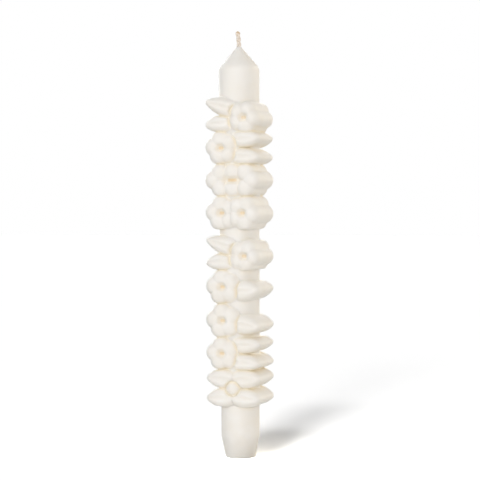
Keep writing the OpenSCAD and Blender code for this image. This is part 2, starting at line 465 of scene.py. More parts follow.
@dataclass
class NodeTree:
    """Short calls that add and join the nodes of one tree."""

    tree: bpy.types.NodeTree

    def feed(self, socket: Socket, value: object) -> None:
        """Joins a socket to another, or sets its value.

        Args:
            socket: The input socket.
            value: An output socket, or a plain value.
        """
        if isinstance(value, Socket):
            self.tree.links.new(value, socket)
        else:
            socket.default_value = value

    def fill(self, node: bpy.types.Node, inputs: Sizes) -> None:
        """Feeds a node's inputs by name."""
        for name, value in inputs.items():
            self.feed(node.inputs[name], value)

    def add(self, kind: str, inputs: Sizes | None = None, **settings: object) -> bpy.types.Node:
        """Adds a node.

        Args:
            kind: Blender's name of the node's type.
            inputs: Output sockets or plain values for its inputs, by name.
            settings: Properties of the node.

        Returns:
            The new node.
        """
        made = self.tree.nodes.new(kind)
        for name, value in settings.items():
            setattr(made, name, value)
        self.fill(made, inputs or {})
        return made

    def math(self, operation: str, *values: object, clamp: bool = False) -> Socket:
        """Adds a math node.

        Args:
            operation: Blender's name of the operation.
            values: Sockets or numbers for its inputs.
            clamp: Whether the result is kept from 0 to 1.

        Returns:
            The node's output.
        """
        made = self.add("ShaderNodeMath", operation=operation, use_clamp=clamp)
        for socket, value in zip(made.inputs, values):
            self.feed(socket, value)
        return made.outputs[0]

    def vector(self, **parts: object) -> Socket:
        """Adds a vector of the given X, Y and Z."""
        return self.add("ShaderNodeCombineXYZ", parts).outputs[0]

    def split(self, vector: Socket) -> list[Socket]:
        """Adds the X, Y and Z of a vector."""
        return list(self.add("ShaderNodeSeparateXYZ", {"Vector": vector}).outputs)

    def attribute(self, name: str) -> Socket:
        """Adds the number of that name that is stored on the points."""
        return self.add("ShaderNodeAttribute", attribute_name=name).outputs["Fac"]

    def noise(self, place: Socket, layer: Noise) -> Socket:
        """Adds a noise texture.

        Args:
            place: Coordinates at which it is read.
            layer: Its scale and finer layers.

        Returns:
            The noise's value, about 0.5 on average.
        """
        inputs = {"Vector": place, "Scale": layer.scale, "Detail": layer.detail, "Roughness": layer.rough}
        return self.add("ShaderNodeTexNoise", inputs).outputs["Fac"]

    def remap(self, value: Socket, source: Span, target: Span) -> Socket:
        """Adds a clamped change of range.

        Args:
            value: The value to change.
            source: Its low and high end.
            target: The new low and high end.

        Returns:
            The changed value.
        """
        made = self.add("ShaderNodeMapRange", clamp=True)
        for socket, given in zip(made.inputs, (value, *source, *target)):
            self.feed(socket, given)
        return made.outputs[0]

    def blend(self, share: Socket, first: object, second: object) -> Socket:
        """Adds a mix of two colours.

        Args:
            share: Share of the second colour.
            first: First colour or socket.
            second: Second colour or socket.

        Returns:
            The mixed colour.
        """
        inputs = {"Factor": share, "A": first, "B": second}
        return self.add("ShaderNodeMix", inputs, data_type="RGBA").outputs["Result"]

    def bump(self, height: Socket, depth: Span, normal: Socket | None = None) -> Socket:
        """Adds a bump node.

        Args:
            height: Height of the surface.
            depth: Share of the bump that shows, and its height in metres.
            normal: Normal that it is added to, if there is one.

        Returns:
            The bumped normal.
        """
        inputs = {"Strength": depth[0], "Distance": depth[1], "Height": height}
        if normal is not None:
            inputs["Normal"] = normal
        return self.add("ShaderNodeBump", inputs).outputs["Normal"]

    def seen(self) -> Socket:
        """Adds nodes that are 1 for rays from the camera, also by way of gloss or glass.

        Returns:
            The share, 0 or 1.
        """
        path = self.add("ShaderNodeLightPath").outputs
        straight = self.math("MAXIMUM", path["Is Camera Ray"], path["Is Glossy Ray"])
        return self.math("MAXIMUM", straight, path["Is Transmission Ray"])

    def finish(self, geometry: Socket, material: Socket) -> None:
        """Ends a Geometry Nodes tree in smooth shading, Realize Instances and Set Material.

        Args:
            geometry: Geometry to finish.
            material: Socket that gives the material.
        """
        smooth = self.add("GeometryNodeSetShadeSmooth", {"Geometry": geometry})
        real = self.add("GeometryNodeRealizeInstances", {"Geometry": smooth.outputs[0]})
        dressed = self.add("GeometryNodeSetMaterial", {"Geometry": real.outputs[0], "Material": material})
        self.feed(self.add("NodeGroupOutput").inputs[0], dressed.outputs[0])


def new_material(name: str) -> tuple[bpy.types.Material, NodeTree, bpy.types.Node]:
    """Makes a material.

    Args:
        name: Its name.

    Returns:
        The material, its nodes and its shader.
    """
    made = bpy.data.materials.new(name)
    made.use_nodes = True
    return made, NodeTree(made.node_tree), made.node_tree.nodes["Principled BSDF"]


@dataclass(frozen=True)
class WaxFinish:
    """Satin ivory wax: faintly clouded, with painted shade in its crevices and at the bottoms of its pits,
    and a little light coming through it.
    """

    ivory: Colour = (0.90, 0.872, 0.825, 1)
    cream: Colour = (0.885, 0.848, 0.785, 1)
    # Painted shade: a darker yellow laid into crevices and seams, standing in for light scattered and
    # shaded there.
    crevice_shade: Colour = (0.905, 0.825, 0.665, 1)
    # Painted shade at the bottoms of the heart pits.
    pit_shade: Colour = (0.80, 0.60, 0.32, 1)
    cloud: Noise = Noise(110, 3, 0.55)
    cloud_span: Span = (0.35, 0.68)
    crevice_span: Span = (0.15, 0.95)
    crevice_shade_share: float = 0.75
    pit_span: Span = (0.1, 0.8)
    pit_shade_share: float = 0.9
    ripple: Noise = Noise(420, 2, 0.5)
    ripple_span: Span = (0.3, 0.7)
    ripple_bump: Span = (0.5, 0.08 * MM)
    roughness: Span = (0.42, 0.56)
    grain: Noise = Noise(2600, 3, 0.6)
    grain_bump: Span = (0.35, 0.02 * MM)
    scatter: tuple[float, float, float] = (1.0, 0.96, 0.92)
    scatter_depth: float = 1.6 * MM
    scatter_shares: Span = (0.6, 0.15)
    seam_span: Span = (0.05, 0.5)
    ior: float = 1.44
    specular: float = 0.4

    def material(self) -> bpy.types.Material:
        """Builds the wax.

        Returns:
            The material.
        """
        made, nodes, shader = new_material("ivory_wax")
        place = nodes.add("ShaderNodeTexCoord").outputs["Object"]
        cloud = nodes.remap(nodes.noise(place, self.cloud), self.cloud_span, (0, 1))
        ripple = nodes.noise(place, self.ripple)
        crevice = nodes.attribute(CREVICE)
        # Painted shade: the crevice mark tints the wax darker and yellower in creases and seams.
        crevice_shading = nodes.remap(crevice, self.crevice_span, (0, self.crevice_shade_share))
        # Painted shade: the pit mark tints the bottoms of the heart pits orange-brown.
        pit_shading = nodes.remap(nodes.attribute(PIT), self.pit_span, (0, self.pit_shade_share))
        body = nodes.blend(crevice_shading, nodes.blend(cloud, self.ivory, self.cream), self.crevice_shade)
        broad = nodes.bump(ripple, self.ripple_bump)
        inputs = {
            "Base Color": nodes.blend(pit_shading, body, self.pit_shade),
            "Roughness": nodes.remap(ripple, self.ripple_span, self.roughness),
            "Normal": nodes.bump(nodes.noise(place, self.grain), self.grain_bump, broad),
            "Subsurface Weight": nodes.remap(crevice, self.seam_span, self.scatter_shares),
            "Subsurface Radius": self.scatter,
            "Subsurface Scale": self.scatter_depth,
            "IOR": self.ior,
            "Specular IOR Level": self.specular,
        }
        nodes.fill(shader, inputs)
        return made


@dataclass(frozen=True)
class CottonFinish:
    """Primed cotton: beige yarn, paler where the wax has soaked in, toasted at its cut end."""

    yarn: Colour = (0.87, 0.79, 0.70, 1)
    shade: Colour = (0.86, 0.75, 0.63, 1)
    soaked: Colour = (0.90, 0.85, 0.78, 1)
    toasted: Colour = (0.74, 0.53, 0.29, 1)
    blotch: Noise = Noise(900, 3, 0.6)
    blotch_span: Span = (0.35, 0.7)
    soak_span: Span = (232.0 * MM, 234.5 * MM)
    soak_share: float = 0.85
    toast_span: Span = (239.8 * MM, 241.1 * MM)
    spot_span: Span = (0.42, 0.58)
    spot_shares: Span = (0.15, 0.95)
    fibre: Noise = Noise(9000, 2, 0.6)
    fibre_span: Span = (0.3, 0.7)
    fibre_bump: Span = (0.35, 0.02 * MM)
    roughness: Span = (0.72, 0.92)
    specular: float = 0.25
    sheen: float = 0.2

    def material(self) -> bpy.types.Material:
        """Builds the cotton.

        Returns:
            The material.
        """
        made, nodes, shader = new_material("primed_cotton")
        place = nodes.add("ShaderNodeTexCoord").outputs["Object"]
        height = nodes.split(place)[2]
        blotch = nodes.noise(place, self.blotch)
        fibre = nodes.noise(place, self.fibre)
        body = nodes.blend(nodes.remap(blotch, self.blotch_span, (0, 1)), self.yarn, self.shade)
        soak = nodes.remap(height, self.soak_span, (self.soak_share, 0))
        body = nodes.blend(soak, body, self.soaked)
        end = nodes.remap(height, self.toast_span, (0, 1))
        spots = nodes.remap(blotch, self.spot_span, self.spot_shares)
        inputs = {
            "Base Color": nodes.blend(nodes.math("MULTIPLY", end, spots), body, self.toasted),
            "Roughness": nodes.remap(fibre, self.fibre_span, self.roughness),
            "Normal": nodes.bump(fibre, self.fibre_bump),
            "Specular IOR Level": self.specular,
            "Sheen Weight": self.sheen,
        }
        nodes.fill(shader, inputs)
        return made


@dataclass(frozen=True)
class FloorFinish:
    """Plain white paper, which shows white where it is lit and keeps the candle's shadow."""

    paper: Colour = (0.86, 0.84, 0.80, 1)
    shown: Colour = (4.9, 4.9, 4.9, 1)

    def material(self) -> bpy.types.Material:
        """Builds the paper.

        Returns:
            The material.
        """
        made, nodes, shader = new_material("paper_floor")
        colour = nodes.blend(nodes.seen(), self.paper, self.shown)
        matt = nodes.add("ShaderNodeBsdfDiffuse", {"Color": colour})
        nodes.fill(made.node_tree.nodes["Material Output"], {"Surface": matt.outputs[0]})
        made.node_tree.nodes.remove(shader)
        return made


@dataclass
class Piece:
    """A finished piece of the candle and the solid that it stands for."""

    made: bpy.types.Object
    node: str
    slot: Slot

    def join(self, material: bpy.types.Material) -> None:
        """Dresses the piece and joins it to the frame.

        Args:
            material: The piece's finish.
        """
        self.made.data.materials.clear()
        self.made.data.materials.append(material)
        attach(self.made, BODY)
        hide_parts(self.node)
        LOG.info("%s: %d faces", self.made.name, len(self.made.data.polygons))


def new_tree(name: str, sizes: Sizes) -> tuple[NodeTree, Sockets]:
    """Makes a Geometry Nodes tree with geometry going in and out and a named input for each size.

    Args:
        name: Name of the tree.
        sizes: Values of its inputs by name.

    Returns:
        The tree, and the sockets of its inputs by name.
    """
    tree = bpy.data.node_groups.new(name, "GeometryNodeTree")
    tree.interface.new_socket("Geometry", in_out="INPUT", socket_type="NodeSocketGeometry")
    tree.interface.new_socket("Geometry", in_out="OUTPUT", socket_type="NodeSocketGeometry")
    for size, value in sizes.items():
        tree.interface.new_socket(size, in_out="INPUT", socket_type=SOCKETS[type(value)])
    return NodeTree(tree), tree.nodes.new("NodeGroupInput").outputs


def grow(made: bpy.types.Object, nodes: NodeTree, sizes: Sizes) -> None:
    """Runs a tree on an object, keeps the result as its plain mesh and removes the modifier.

    Args:
        made: The object.
        nodes: The tree.
        sizes: Values of the tree's inputs by name.
    """
    modifier = made.modifiers.new(nodes.tree.name, "NODES")
    modifier.node_group = nodes.tree
    for item in nodes.tree.interface.items_tree:
        if item.in_out == "INPUT" and item.name in sizes:
            modifier[item.identifier] = sizes[item.name]
    made.update_tag()
    graph = bpy.context.evaluated_depsgraph_get()
    mesh = bpy.data.meshes.new_from_object(made.evaluated_get(graph), depsgraph=graph)
    made.modifiers.clear()
    made.data = mesh
    mesh.name = made.name


@dataclass
class Shaft:
    """The turned wax shaft: a tapered foot, a straight peg, a slender body and a pointed tip.

    A corner whose half angle is over straight degrees isn't rounded, and a rounding has a point about
    every turn_step degrees.
    """

    node: str = "wax_shaft"
    base_radius: float = 8.6 * MM
    base_round: float = 1.0 * MM
    foot_height: float = 12.0 * MM
    foot_soft: float = 2.0 * MM
    peg_radius: float = 11.0 * MM
    garland_z: float = 29.3 * MM
    shoulder_radius: float = 11.6 * MM
    shoulder_round: float = 6.0 * MM
    tip_height: float = 11.4 * MM
    tip_radius: float = 1.8 * MM
    tip_round: float = 0.6 * MM
    bore_radius: float = 1.43 * MM
    bore_round: float = 0.15 * MM
    collar_radius: float = 1.2 * MM
    collar_rise: float = 0.7 * MM
    collar_round: float = 0.1 * MM
    straight: float = 89.5
    turn_step: float = 7.0
    least_steps: int = 3
    ring_step: float = 0.8 * MM
    bore_step: float = 8.0 * MM
    segments: int = 192
    seam: float = 0.001 * MM
    uneven: Unevenness = Unevenness(26 * MM, 0.05 * MM)
    even_reach: float = 2.0 * MM
    tip_z: float = field(init=False)
    shoulder_z: float = field(init=False)

    def __post_init__(self) -> None:
        """Reads the heights of the tip and the shoulder from the frame."""
        self.tip_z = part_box(self.node)[1].z
        self.shoulder_z = self.tip_z - self.tip_height

    def radius(self, z: Array) -> Array:
        """Gives the shaft's radius along the garland."""
        share = (z - self.garland_z) / (self.shoulder_z - self.garland_z)
        return self.peg_radius + (self.shoulder_radius - self.peg_radius) * share

    def distance(self, points: Array) -> Array:
        """Gives the signed distance from the shaft's wall along the garland."""
        return np.hypot(points[:, 0], points[:, 1]) - self.radius(points[:, 2])

    def corners(self) -> list[tuple[float, float, float]]:
        """Lists the profile's corners from the base to the collar at the wick.

        Returns:
            Radius, height and rounding of each corner.
        """
        return [
            (self.bore_radius, 0, self.bore_round),
            (self.base_radius, 0, self.base_round),
            (self.peg_radius, self.foot_height, self.foot_soft),
            (self.peg_radius, self.garland_z, 0),
            (self.shoulder_radius, self.shoulder_z, self.shoulder_round),
            (self.tip_radius, self.tip_z, self.tip_round),
            (self.collar_radius, self.tip_z + self.collar_rise, self.collar_round),
            (self.collar_radius, self.tip_z - self.collar_rise, 0),
            (self.bore_radius, self.tip_z - 2 * self.collar_rise, 0),
        ]

    def profile(self) -> Array:
        """Rounds the corners and divides the stretches between them.

        Returns:
            A closed profile as rows of radius, 0 and height, with its first point repeated at its end.
        """
        corners = [(Vector((r, z)), rounding) for r, z, rounding in self.corners()]
        line: list[Vector] = []
        for i, (corner, rounding) in enumerate(corners):
            back = (corners[i - 1][0] - corner).normalized()
            ahead = (corners[(i + 1) % len(corners)][0] - corner).normalized()
            half = back.angle(ahead) / 2
            if rounding == 0 or half > math.radians(self.straight):
                line.append(corner)
                continue
            reach = rounding / math.tan(half)
            first, last = corner + back * reach, corner + ahead * reach
            middle = corner + (back + ahead).normalized() * (rounding / math.sin(half))
            turn = math.pi - 2 * half
            steps = max(self.least_steps, math.ceil(turn / math.radians(self.turn_step)))
            start, end = first - middle, last - middle
            for k in range(steps + 1):
                share = k / steps
                arm = start * math.sin((1 - share) * turn) + end * math.sin(share * turn)
                line.append(middle + arm / math.sin(turn))
        closed = [*line, line[0]]
        dense: list[Vector] = []
        for here, there in zip(closed, closed[1:]):
            # The last stretch is the bore, which the wick fills.
            step = self.bore_step if there is line[0] else self.ring_step
            steps = max(1, math.ceil((there - here).length / step))
            dense += [here.lerp(there, k / steps) for k in range(steps)]
        dense.append(closed[0])
        return np.array([(p.x, 0, p.y) for p in dense])

    def lathe(self, sizes: Sizes) -> NodeTree:
        """Builds the tree that turns the profile round the axis.

        Args:
            sizes: Values of its inputs by name.

        Returns:
            The tree.
        """
        nodes, given = new_tree("turned_shaft", sizes)
        columns = nodes.math("ADD", given["Segments"], 1)
        grid = nodes.add("GeometryNodeMeshGrid", {"Vertices X": columns, "Vertices Y": given["Rings"]})
        index = nodes.add("GeometryNodeInputIndex").outputs[0]
        ring = nodes.math("MODULO", index, given["Rings"])
        column = nodes.math("FLOOR", nodes.math("DIVIDE", nodes.math("ADD", index, 0.5), given["Rings"]))
        angle = nodes.math("DIVIDE", nodes.math("MULTIPLY", column, math.tau), given["Segments"])
        place = nodes.add("GeometryNodeInputPosition").outputs[0]
        inputs = {"Geometry": given["Geometry"], "Value": place, "Index": ring}
        read = nodes.add("GeometryNodeSampleIndex", inputs, data_type="FLOAT_VECTOR", domain="POINT")
        reach, _, height = nodes.split(read.outputs[0])
        x = nodes.math("MULTIPLY", reach, nodes.math("COSINE", angle))
        y = nodes.math("MULTIPLY", reach, nodes.math("SINE", angle))
        around = nodes.vector(X=x, Y=y, Z=height)
        inputs = {"Geometry": grid.outputs["Mesh"], "Position": around}
        placed = nodes.add("GeometryNodeSetPosition", inputs)
        inputs = {"Geometry": placed.outputs[0], "Distance": given["Seam"]}
        nodes.finish(nodes.add("GeometryNodeMergeByDistance", inputs).outputs[0], given["Material"])
        return nodes

    def build(self, material: bpy.types.Material) -> Piece:
        """Turns the shaft and gives its wall the unevenness of poured wax.

        Args:
            material: The wax.

        Returns:
            The finished piece.
        """
        profile = self.profile()
        made = mesh_object("turned_" + self.node, profile, np.empty((0, 4), int))
        sizes = {
            "Rings": len(profile),
            "Segments": self.segments,
            "Seam": self.seam,
            "Material": material,
        }
        grow(made, self.lathe(sizes), sizes)
        points, _ = mesh_points(made.data)
        reach = np.hypot(points[:, 0], points[:, 1])
        outer = np.clip((reach - self.base_radius) / self.even_reach, 0, 1)
        sunk = 1 - self.uneven.sink(points) * outer / np.maximum(reach, MM)
        points[:, :2] *= sunk[:, None]
        made.data.vertices.foreach_set("co", points.astype(np.float32).ravel())
        made.data.update()
        return Piece(made, self.node, Slot.WAX)


@dataclass
class Relief:
    """One blossom, leaf or bud of the garland, plump through its depth and welded to the shaft."""

    node: str
    outline: Outline
    room: Room
    shaft: Shaft
    edge: float
    hollows: tuple[Hollow, ...] = ()
    tucked: tuple[Outline, ...] = ()
    depth: float = 30.0 * MM
    crown: float = 0.9 * MM
    dome: float = 6.5 * MM
    lap: float = 0.2 * MM
    bury: float = 1.2 * MM
    crease: float = 2.0 * MM
    fillet: float = 0.34 * MM
    fillet_reach: float = 1.2 * MM
    fillet_room: float = 1.5
    sink: float = 0.06 * MM
    step: float = 0.38 * MM
    uneven: Unevenness = Unevenness(17 * MM, 0.2 * MM)
    around: list["Relief"] = field(default_factory=list)
    low: Array = field(init=False)
    high: Array = field(init=False)

    def __post_init__(self) -> None:
        """Reads the corners of the piece's solid from the frame."""
        self.low, self.high = (np.array(corner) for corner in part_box(self.node))

    def block(self, points: Array) -> Array:
        """Gives the signed distance from the plump block that the piece is cut from.

        Args:
            points: Rows of X, Y and Z.

        Returns:
            Signed distances, negative inside.
        """
        x, y, z = points.T
        flat = self.outline.distance(x, z)
        inset = np.clip(-flat / self.dome, 0, 1)
        face = np.abs(y) - self.depth / 2 + self.crown * (1 - inset) ** 2 + self.edge
        side = flat + self.edge
        body = np.minimum(np.maximum(side, face), 0) - self.edge
        return body + np.hypot(np.maximum(side, 0), np.maximum(face, 0))

    def pits(self, points: Array) -> Array:
        """Tells how close points are to the bottoms of the piece's pits, from 0 to 1, for the painted
        shade there.
        """
        return sum((hollow.bottom_shade(points) for hollow in self.hollows), np.zeros(len(points)))

    def form(self, points: Array) -> Array:
        """Gives the signed distance from the piece's own surface, before it is welded on.

        Args:
            points: Rows of X, Y and Z.

        Returns:
            Signed distances, negative inside.
        """
        x, _, z = points.T
        body = self.block(points)
        for hollow in self.hollows:
            body = soft_cut(body, -hollow.distance(points), hollow.rim)
        for neighbour in self.tucked:
            body = soft_cut(body, -self.lap - neighbour.distance(x, z), self.crease)
        body = soft_cut(body, self.room.distance(x, z) - self.lap, self.crease / 2)
        return body + self.uneven.sink(points)

    def nearby(self, points: Array) -> Array:
        """Gives the form's signed distance at points close to the piece, and a large distance elsewhere.

        Args:
            points: Rows of X, Y and Z.

        Returns:
            Signed distances, negative inside.
        """
        found = np.full(len(points), FAR)
        close = np.all((points > self.low - FAR) & (points < self.high + FAR), axis=1)
        found[close] = self.form(points[close])
        return found

    def welded(self, points: Array) -> Array:
        """Gives the signed distance from the piece with the fillets that join it to the wax around it.

        Args:
            points: Rows of X, Y and Z.

        Returns:
            Signed distances, negative inside.
        """
        body = self.form(points)
        wall = self.shaft.distance(points)
        near = np.flatnonzero(np.abs(body) < self.fillet_room * self.fillet_reach)
        parts = [body[near], wall[near] + self.sink]
        parts += [other.nearby(points[near]) + self.sink for other in self.around]
        body[near] = np.maximum(soft_union(parts, self.fillet), body[near] - self.fillet_reach)
        return np.maximum(body, -self.bury - wall)

    def meets(self, other: "Relief") -> bool:
        """Tells whether another piece is close enough to be welded to this one."""
        gap = np.maximum(other.low - self.high, self.low - other.high).max()
        return other is not self and gap < FAR

    def build(self) -> Piece:
        """Wraps the form in a net of faces.

        Returns:
            The finished piece.
        """
        room = self.fillet_reach
        points, faces = wrap(self.welded, self.low - room, self.high + room, self.step)
        return Piece(mesh_object("soft_" + self.node, points, faces), self.node, Slot.WAX)


@dataclass
class Garland:
    """Nine rows of blossoms and leaves, one on the other round the shaft."""

    shaft: Shaft
    half_width: float = 16.5 * MM
    depth: float = 30.0 * MM
    plump: float = 4.0 * MM
    press: float = 1.0 * MM
    spacer: float = 1.7 * MM
    whorl_height: float = 21.3 * MM
    pair_height: float = 18.0 * MM
    single_height: float = 19.0 * MM
    spray_height: float = 21.0 * MM
    twin_height: float = 18.7 * MM
    wide_height: float = 18.2 * MM
    petals: int = 5
    petal_share: float = 0.54
    blossom_turn: float = 7.0
    heart_radius: float = 1.2 * MM
    heart_reach: float = 0.5 * MM
    heart_sink: float = 1.7 * MM
    heart_rim: float = 3.0 * MM
    # Radius of the painted shade at the bottom of each heart.
    heart_spot: float = 1.35 * MM
    slot_reach: float = 1.7 * MM
    bud_radius: float = 4.4 * MM
    bud_plump: float = 0.9
    vein_radius: float = 0.6 * MM
    vein_rim: float = 1.6 * MM
    vein_share: float = 0.86
    leaf_past: float = 3.5 * MM
    leaf_tilt: float = 6.0
    whorl_fill: float = 0.53
    pair_fill: float = 0.55
    single_fill: float = 0.6
    single_drop: float = 2.2 * MM
    spray_fill: float = 0.5
    spray_tilt: float = 17.0
    spray_radius: float = 9.5 * MM
    spray_drop: float = 2.6 * MM
    spray_high: float = 0.33
    spray_low: float = 0.31
    spray_long: float = 0.75
    wide_petal: float = 5.4 * MM
    wide_places: tuple[float, ...] = (-0.68, 0, 0.68)
    rows: list[list[Relief]] = field(default_factory=list)

    @property
    def leaf_length(self) -> float:
        """Length of a leaf that reaches from the garland's side past the shaft's middle."""
        return self.half_width + self.leaf_past

    def blossom(self, x: float, z: float, radius: float, side: Side) -> Petals:
        """Outlines a round blossom.

        Args:
            x: Place of its heart from side to side.
            z: Height of its heart.
            radius: Its radius.
            side: The side to which its first petal points.

        Returns:
            The outline.
        """
        ring = radius * (1 - self.petal_share)
        first = self.blossom_turn + (180 if side is Side.LEFT else 0)
        angles = [math.radians(first + 360 * k / self.petals) for k in range(self.petals)]
        return Petals(
            tuple(
                Disc(x + ring * math.cos(a), z - ring * math.sin(a), radius * self.petal_share)
                for a in angles
            )
        )

    def heart(self, x: float, z: float, reach: float = 0) -> Hollow:
        """Hollows a blossom's heart.

        Args:
            x: Its place from side to side.
            z: Its height.
            reach: How far a slot goes to each side, or 0 for a pit.

        Returns:
            The hollow.
        """
        depth = self.depth / 2 - self.heart_sink
        reach += self.heart_reach
        ends = (x - reach, z), (x + reach, z)
        return Hollow(*ends, self.heart_radius, depth, self.heart_rim, self.heart_spot)

    def leaf(self, side: Side, z: float, height: float, tilt: float) -> PointedOval:
        """Outlines a leaf that reaches from one side past the shaft's middle.

        Args:
            side: The side.
            z: Height of its middle.
            height: Its breadth.
            tilt: By how many degrees its right end sinks.

        Returns:
            The outline.
        """
        x = side.value * (self.half_width - self.leaf_length / 2)
        return PointedOval(x, z, self.leaf_length, height, tilt)

    def relief(self, node: str, outline: Outline, room: Room, *hollows: Hollow, **more: object) -> Relief:
        """Makes one piece of the garland.

        Args:
            node: The solid that it stands for.
            outline: Its outline.
            room: The space that it may take.
            hollows: Hollows in its faces.
            more: Other fields of the piece.

        Returns:
            The piece.
        """
        edge = more.pop("edge", self.plump)
        return Relief(node, outline, room, self.shaft, edge, hollows, depth=self.depth, **more)

    def veined(self, node: str, leaf: PointedOval, room: Room, *tucked: Outline) -> Relief:
        """Makes a leaf with a groove along its middle.

        Args:
            node: The solid that it stands for.
            leaf: Its outline.
            room: The space that it may take.
            tucked: Outlines that it is tucked behind.

        Returns:
            The piece.
        """
        ends = leaf.point(-self.vein_share), leaf.point(self.vein_share)
        vein = Hollow(*ends, self.vein_radius, self.depth / 2, self.vein_rim)
        return self.relief(node, leaf, room, vein, tucked=tucked)

    def whorl(self, low: float) -> list[Relief]:
        """Lays out four leaves round a bud.

        Args:
            low: Height of the row's lower end.

        Returns:
            The row's pieces.
        """
        high = low + self.whorl_height
        middle = (low + high) / 2
        bud = Disc(0, middle, self.bud_radius)
        plump = self.bud_plump * self.bud_radius
        pieces = [self.relief("whorl_bud", bud, Room(low, high), edge=plump)]
        for level in Level:
            for side in (Side.RIGHT, Side.LEFT):
                leaf = self.leaf(
                    side,
                    middle + level.value * self.whorl_height / 4,
                    self.whorl_fill * self.whorl_height,
                    -side.value * level.value * self.leaf_tilt / 2,
                )
                room = Room(
                    low if level is Level.LOW else middle,
                    middle if level is Level.LOW else high,
                    -1.0 if side is Side.LEFT else 0.0,
                    0.0 if side is Side.LEFT else 1.0,
                )
                name = f"whorl_leaf_{LEAF_NUMBERS[level, side]}"
                pieces.append(self.veined(name, leaf, room, bud))
        return pieces

    def pair(self, number: int, low: float) -> list[Relief]:
        """Lays out a blossom on the left and two leaves on the right.

        Args:
            number: Number of the row among its like.
            low: Height of the row's lower end.

        Returns:
            The row's pieces.
        """
        high = low + self.pair_height
        middle = (low + high) / 2
        radius = self.pair_height / 2 + self.press
        x = radius - self.half_width
        blossom = self.blossom(x, middle, radius, Side.LEFT)
        pieces = [self.relief(f"pair_{number}_blossom", blossom, Room(low, high), self.heart(x, middle))]
        height = self.pair_fill * self.pair_height
        for level in Level:
            tilt = -level.value * self.leaf_tilt / 2
            leaf = self.leaf(Side.RIGHT, middle + level.value * height / 2, height, tilt)
            room = Room(low, middle) if level is Level.LOW else Room(middle, high)
            pieces.append(self.veined(f"pair_{number}_leaf_{level.name.lower()}", leaf, room, blossom))
        return pieces

    def single(self, number: int, low: float) -> list[Relief]:
        """Lays out a blossom on the left and one leaf on the right.

        Args:
            number: Number of the row among its like.
            low: Height of the row's lower end.

        Returns:
            The row's pieces.
        """
        room = Room(low, low + self.single_height)
        middle = low + self.single_height / 2
        radius = self.single_height / 2 + self.press
        x = radius - self.half_width
        blossom = self.blossom(x, middle, radius, Side.LEFT)
        tilt = self.leaf_tilt if number == 1 else -self.leaf_tilt
        height = self.single_fill * self.single_height
        leaf = self.leaf(Side.RIGHT, middle - self.single_drop, height, tilt)
        return [
            self.relief(f"single_{number}_blossom", blossom, room, self.heart(x, middle)),
            self.veined(f"single_{number}_leaf", leaf, room, blossom),
        ]

    def spray(self, number: int, low: float) -> list[Relief]:
        """Lays out a blossom on the right and two slanting leaves on the left.

        Args:
            number: Number of the row among its like.
            low: Height of the row's lower end.

        Returns:
            The row's pieces.
        """
        room = Room(low, low + self.spray_height)
        middle = low + self.spray_height / 2
        x = self.half_width - self.spray_radius
        z = middle - self.spray_drop
        blossom = self.blossom(x, z, self.spray_radius, Side.RIGHT)
        length = self.spray_long * 2 * self.half_width
        height = self.spray_fill * self.spray_height
        slant = math.radians(self.spray_tilt)
        long_leaf = PointedOval(
            length / 2 * math.cos(slant) - self.half_width,
            middle + self.spray_high * self.spray_height - length / 2 * math.sin(slant),
            length,
            height,
            self.spray_tilt,
        )
        low_z = middle - self.spray_low * self.spray_height + self.leaf_past / 4
        low_leaf = self.leaf(Side.LEFT, low_z, height, -self.leaf_tilt)
        return [
            self.relief(f"spray_{number}_blossom", blossom, room, self.heart(x, z)),
            self.veined(f"spray_{number}_leaf_high", long_leaf, room, blossom),
            self.veined(f"spray_{number}_leaf_low", low_leaf, room, blossom, long_leaf),
        ]

    def twin(self, low: float) -> list[Relief]:
        """Lays out two blossoms side by side.

        Args:
            low: Height of the row's lower end.

        Returns:
            The row's pieces.
        """
        high = low + self.twin_height
        middle = (low + high) / 2
        radius = self.twin_height / 2 + self.press
        pieces = []
        for side in Side:
            x = side.value * (self.half_width - radius)
            blossom = self.blossom(x, middle, radius, side)
            room = Room(low, high, min(0.0, side.value), max(0.0, side.value))
            name = f"twin_blossom_{side.name.lower()}"
            pieces.append(self.relief(name, blossom, room, self.heart(x, middle)))
        return pieces

    def wide(self, low: float) -> list[Relief]:
        """Lays out one wide blossom, with its petals on an oval.

        Args:
            low: Height of the row's lower end.

        Returns:
            The row's pieces.
        """
        high = low + self.wide_height
        middle = (low + high) / 2
        across = self.half_width - self.wide_petal
        upright = self.wide_height / 2 + self.press / 2 - self.wide_petal
        places = [(-1, 0), (1, 0), *((x, z) for z in (-1, 1) for x in self.wide_places)]
        discs = tuple(Disc(x * across, middle + z * upright, self.wide_petal) for x, z in places)
        slot = self.heart(0, middle, self.slot_reach)
        return [self.relief("wide_blossom", Petals(discs), Room(low, high), slot)]

    def lay_out(self) -> None:
        """Stacks the rows from the lowest to the highest."""
        z = self.shaft.garland_z
        plan = [
            (self.whorl, (), self.whorl_height, 0),
            (self.pair, (1,), self.pair_height, 0),
            (self.single, (1,), self.single_height, 0),
            (self.single, (2,), self.single_height, 0),
            (self.spray, (1,), self.spray_height, 0),
            (self.twin, (), self.twin_height, self.spacer),
            (self.wide, (), self.wide_height, 0),
            (self.pair, (2,), self.pair_height, 0),
            (self.spray, (2,), self.spray_height, 0),
        ]
        for row, number, height, gap in plan:
            self.rows.append(row(*number, z + gap))
            z += gap + height

    def build(self) -> list[Piece]:
        """Builds every piece and marks its crevices.

        Returns:
            The finished pieces.
        """
        self.lay_out()
        pieces = []
        reliefs = [relief for row in self.rows for relief in row]
        for relief in reliefs:
            relief.around = [other for other in reliefs if relief.meets(other)]
            piece = relief.build()
            # The crevice and pit marks below are where the wax finish paints shade.
            forms = [self.shaft.distance, relief.form, *(other.nearby for other in relief.around)]
            mark_crevices(piece.made, forms)
            mark(piece.made, PIT, relief.pits(mesh_points(piece.made.data)[0]))
            pieces.append(piece)
        return pieces

    def forms(self) -> list[Form]:
        """Lists the signed distances of all pieces."""
        return [relief.nearby for row in self.rows for relief in row]


